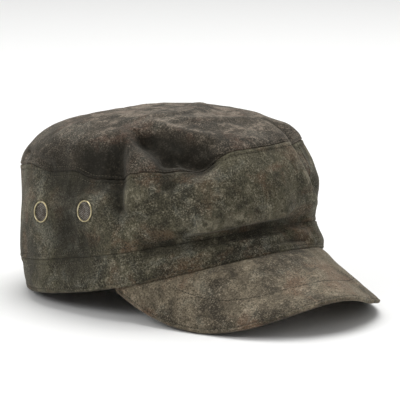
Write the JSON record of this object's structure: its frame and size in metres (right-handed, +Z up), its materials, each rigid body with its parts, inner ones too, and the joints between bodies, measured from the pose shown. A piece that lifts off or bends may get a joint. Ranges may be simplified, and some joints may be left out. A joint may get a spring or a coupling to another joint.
{
  "type": "army cap",
  "caption": "Soft leather military-style cap with a flat top, upright wall, head band, short arched peak and brass mesh vents on the sides.",
  "frame": {"origin": "middle of the bounding box footprint, on the surface the cap rests on", "axes": "+Z up, -Y toward the peak (the wearer's front), +X toward the wearer's left"},
  "size_m": [0.1808, 0.255, 0.1156],
  "materials": {
    "crown_top": "weathered suede-like leather, mottled grey-brown",
    "crown_wall": "weathered suede-like leather, dark olive grey with brown patches",
    "head_band": "weathered suede-like leather, dark olive grey",
    "peak_top": "weathered suede-like leather, brown grey",
    "peak_underside": "plain suede-like leather, brown grey",
    "vent_brass": "dull pale brass",
    "vent_mesh": "darkened woven wire"
  },
  "bodies": {
    "root": {"crown_top": "crown_top", "crown_wall": "crown_wall", "head_band": "head_band", "peak_top": "peak_top", "peak_underside": "peak_underside", "vent_ring_right_front": "vent_brass", "vent_ring_right_back": "vent_brass", "vent_ring_left_front": "vent_brass", "vent_ring_left_back": "vent_brass", "vent_mesh_right_front": "vent_mesh", "vent_mesh_right_back": "vent_mesh", "vent_mesh_left_front": "vent_mesh", "vent_mesh_left_back": "vent_mesh"}
  },
  "joints": []
}
